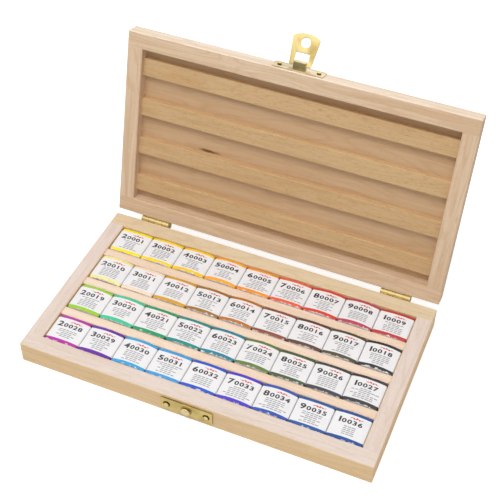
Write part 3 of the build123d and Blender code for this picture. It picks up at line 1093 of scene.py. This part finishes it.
class PAINTBOX_OT_tongue(Operator):
    """Makes the swinging tongue of the catch"""

    bl_idname = "paint_box.make_tongue"
    bl_label = "Catch tongue"

    def execute(self, context):
        settings = context.scene.paint_box_brass
        there = Matrix.Translation(OPENING.inverted() @ CATCH_LINE)
        raised = OPENING @ there @ Matrix.Rotation(-TONGUE_RAISED, 4, "X")
        low, high = shut_box("catch_tongue", raised.inverted())
        thick, shoulder, top, tip = high.y - low.y, high.x, high.z, low.z
        below_hole, above_hole, to_corner = 2.2 * MM, 3.0 * MM, 2.7 * MM
        window, leg = 4.0 * MM, 2.35 * MM
        hole = tip + HOLE_RADIUS + below_hole
        side, sill = hole - to_corner, hole + HOLE_RADIUS + above_hole
        foot = window + leg

        arc = arc_between(shoulder, side, tip, 18)
        corners = [(foot, top), (-foot, top), (-shoulder, side), *arc, (shoulder, side)]
        radii = [0.5 * MM, 0.5 * MM, 0.9 * MM, *[0] * len(arc), 0.9 * MM]
        opening = [(-window, -top), (-window, sill), (window, sill), (window, -top)]
        loops = [rounded(corners, radii), rounded(opening, [0.25 * MM] * 4, 3)]
        loops.append(circle(HOLE_RADIUS, 40, (0, hole)))
        parcel = Parcel()
        parcel.add_mesh(sheet_metal(loops, thick, settings.arris), 0)
        turn = raised @ Matrix.Rotation(pi / 2, 4, "X") @ Matrix.Translation((0, 0, -thick / 2))
        finish_brass(settings, "catch_tongue_finished", parcel, turn)
        return {"FINISHED"}


def arc_between(half, side, tip, steps):
    """Points from left to right along the arc that joins two corners through a low middle."""
    sag = side - tip
    radius = (half * half + sag * sag) / (2 * sag)
    reach = asin(half / radius)
    angles = [-reach + 2 * reach * i / steps for i in range(1, steps)]
    return [(radius * sin(a), tip + radius * (1 - cos(a))) for a in angles]


class PAINTBOX_OT_pins(Operator):
    """Sets a round-headed pin in each hole of the hinges and plates"""

    bl_idname = "paint_box.make_pins"
    bl_label = "Fixing pins"

    def execute(self, context):
        settings = context.scene.paint_box_brass
        sheet = settings.sheet
        bright, dark = brass(settings, "Pin"), brass(settings, "Pin foot")
        heads = [pin_head(1.35 * MM, 0.62 * MM), pin_head(1.3 * MM, 0.55 * MM)]
        # Painted shade: a dark seat and neck under each plate pin's head stand in for the shadow
        # beneath it
        heads.append(pin_foot(1.6 * MM, 1.15 * MM))
        leaf_pins, plate_pins, feet = (pins_recipe(head, bright) for head in heads)

        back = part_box("base_back_rail")[1].y
        # The flat of a leaf begins 1.85 mm from the hinge line and ends 8 mm from it
        leaf_drop = (1.85 + 8.0) / 2 * MM
        middles = [sum(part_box(f"{side}_hinge_pin"), Vector()) / 2 for side in ("left", "right")]
        leaf_x = [middle.x + shift for middle in middles for shift in (-5 * MM, 5 * MM)]
        strike = sum(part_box("strike_plate"), Vector()) / 2
        plate = sum(shut_box("catch_lid_plate", OPENING.inverted()), Vector()) / 2
        groups = (
            ("base_pin_heads", "root", "base_pins", -1, strike, 0.35 * MM, None),
            ("lid_pin_heads", "lid", "lid_pins", 1, plate, 0.6 * MM, OPENING),
        )
        for name, body, node, side, centre, lift, turn in groups:
            rear = [(x, back + sheet, HINGE_LINE.z + side * leaf_drop) for x in leaf_x]
            front, sunk = (
                [(centre.x + x, -back - sheet - proud, centre.z) for x in PIN_PLACES]
                for proud in (lift, lift - FOOT_HEIGHT))
            rows = (
                (leaf_pins, rear, -pi / 2, 0),
                (feet, sunk, pi / 2, 1),
                (plate_pins, front, pi / 2, 0),
            )
            whole = Parcel()
            for recipe, places, tilt, metal in rows:
                whole.add_mesh(recipe.run(places, Tilt=Euler((tilt, 0, 0))), metal)
            make_piece(name, whole.mesh(name, [bright, dark], turn), body, "brass_plate", node)
        for head in heads:
            bpy.data.objects.remove(head)
        return {"FINISHED"}


def pin_foot(seat, stem):
    """What lies under a plate pin's head: the bottom of its seat, and the pin's neck."""
    profile = [(0, -0.1 * MM), (seat, -0.1 * MM), (seat, 0.1 * MM), (stem, 0.2 * MM)]
    return turned_part("pin foot", profile + [(stem, FOOT_HEIGHT), (0, FOOT_HEIGHT)])


def pin_head(radius, tall):
    """A round-headed pin standing on z=0, with a little of its shank below."""
    shank, shoulder = 0.6 * MM, 0.35 * tall
    profile = [(0, -2 * shank), (shank, -2 * shank), (shank, 0), (radius - 0.04 * MM, 0)]
    profile += [(radius, 0.1 * MM), (radius, shoulder)]
    dome = tall - shoulder
    profile += [(radius * cos(a), shoulder + dome * sin(a)) for a in (0.3, 0.6, 0.9, 1.2)]
    return turned_part("pin head", [*profile, (0, tall)])


def turned_part(name, profile):
    parcel = Parcel()
    parcel.add(*lathe(profile, 24))
    return placed(name, parcel.mesh(name))


# ---- The stage ----


class PAINTBOX_OT_stage(Operator):
    """Sets up the pale floor, the soft light and the camera"""

    bl_idname = "paint_box.set_stage"
    bl_label = "Stage"

    def execute(self, context):
        settings = context.scene.paint_box_stage
        set_floor(settings)
        set_daylight(settings)
        set_lamps(settings)
        set_camera(context, settings)
        context.scene.view_settings.view_transform = "Standard"
        return {"FINISHED"}


def set_floor(settings):
    """A plain pale floor that the camera sees as white, with the object's soft shadow on it."""
    half, level = settings.floor_size / 2, -0.2 * MM
    corners = [(-half, -half), (half, -half), (half, half), (-half, half)]
    finish = Finish("Pale floor")
    finish.set(Base_Color=(0.72, 0.72, 0.72), Roughness=0.9)
    strength = finish.math("MULTIPLY", finish.seen(), settings.floor_glow)
    glow = finish.put("ShaderNodeEmission", {"Strength": strength})
    both = finish.put("ShaderNodeAddShader", {0: finish.shader.outputs[0], 1: glow})
    finish.feed(finish.tree.nodes["Material Output"], "Surface", both)
    corners = [(*corner, level) for corner in corners]
    floor = placed("floor", mesh_from("floor", corners, [(0, 1, 2, 3)], [finish.material]))


def set_daylight(settings):
    """Soft light that fades towards the horizon and the viewer; the camera sees plain white."""
    world = bpy.data.worlds.new("Daylight")
    world.use_nodes = True
    sky = Tree(world.node_tree)
    sky.tree.nodes.clear()
    way = sky.parts(sky.add("ShaderNodeTexCoord").outputs["Generated"])
    glossy = sky.add("ShaderNodeLightPath").outputs["Is Glossy Ray"]
    slope = sky.math("ADD", way["Z"], sky.math("MULTIPLY", way["Y"], 0.6))
    level = sky.math("ADD", sky.math("MULTIPLY", glossy, settings.gleam), settings.daylight)
    strength = sky.math("MULTIPLY", sky.span(slope, -0.6, 0.25, 0.3, 1.0), level)
    tint = (1.0, 0.985, 0.965)
    light = sky.put("ShaderNodeBackground", {"Color": tint, "Strength": strength})
    white = sky.put("ShaderNodeBackground", {"Color": (1, 1, 1), "Strength": 1.0})
    mixed = sky.put("ShaderNodeMixShader", {0: sky.seen(), 1: light, 2: white})
    sky.add("ShaderNodeOutputWorld", {"Surface": mixed})
    bpy.context.scene.world = world


def set_lamps(settings):
    """A disk lamp overhead, and a weaker one in front."""
    lamps = (
        ("overhead", (-0.10, -0.30, 1.1), 0.55, settings.lamp_power),
        ("front", (0.3, -1.1, 0.6), 0.8, 0.28 * settings.lamp_power),
    )
    for name, place, size, power in lamps:
        lamp = bpy.data.lights.new(name, "AREA")
        lamp.shape = "DISK"
        lamp.size = size
        lamp.energy = power
        holder = placed(name, lamp)
        holder.location = place
        way = Vector((0, 0, 0.05)) - Vector(place)
        holder.rotation_euler = way.to_track_quat("-Z", "Y").to_euler()
        holder.visible_glossy = False


def set_camera(context, settings):
    """The camera as it was fitted to the corners of the box in the photograph."""
    camera = bpy.data.cameras.new("camera")
    camera.sensor_width = 36
    camera.lens = settings.focal_length
    camera.clip_start = 0.01
    holder = placed("camera", camera)
    holder.location = (0.15779, -0.36920, 0.47308)
    holder.rotation_mode = "ZYX"
    holder.rotation_euler = (radians(43.071), radians(15.304), radians(16.972))
    context.scene.camera = holder


class PAINTBOX_PT_panel(Panel):
    bl_idname = "PAINTBOX_PT_panel"
    bl_label = "Paint Box"
    bl_space_type = "VIEW_3D"
    bl_region_type = "UI"
    bl_category = "Paint Box"

    def draw(self, context):
        for maker in MAKERS:
            self.layout.operator(maker.bl_idname)


GROUPS = {
    "paint_box_wood": PaintBoxWood,
    "paint_box_pans": PaintBoxPans,
    "paint_box_brass": PaintBoxBrass,
    "paint_box_stage": PaintBoxStage,
}
MAKERS = (
    PAINTBOX_OT_case_wood,
    PAINTBOX_OT_lid_wood,
    PAINTBOX_OT_pans,
    PAINTBOX_OT_hinges,
    PAINTBOX_OT_strike,
    PAINTBOX_OT_catch_plate,
    PAINTBOX_OT_tongue,
    PAINTBOX_OT_pins,
    PAINTBOX_OT_stage,
)


def register():
    for group in GROUPS.values():
        bpy.utils.register_class(group)
    for name, group in GROUPS.items():
        setattr(bpy.types.Scene, name, PointerProperty(type=group))
    for maker in (*MAKERS, PAINTBOX_PT_panel):
        bpy.utils.register_class(maker)


def unregister():
    for maker in (PAINTBOX_PT_panel, *reversed(MAKERS)):
        bpy.utils.unregister_class(maker)
    for name, group in reversed(GROUPS.items()):
        delattr(bpy.types.Scene, name)
        bpy.utils.unregister_class(group)


def main():
    register()
    for maker in MAKERS:
        group, name = maker.bl_idname.split(".")
        getattr(getattr(bpy.ops, group), name)()


if __name__ == "__main__":
    main()
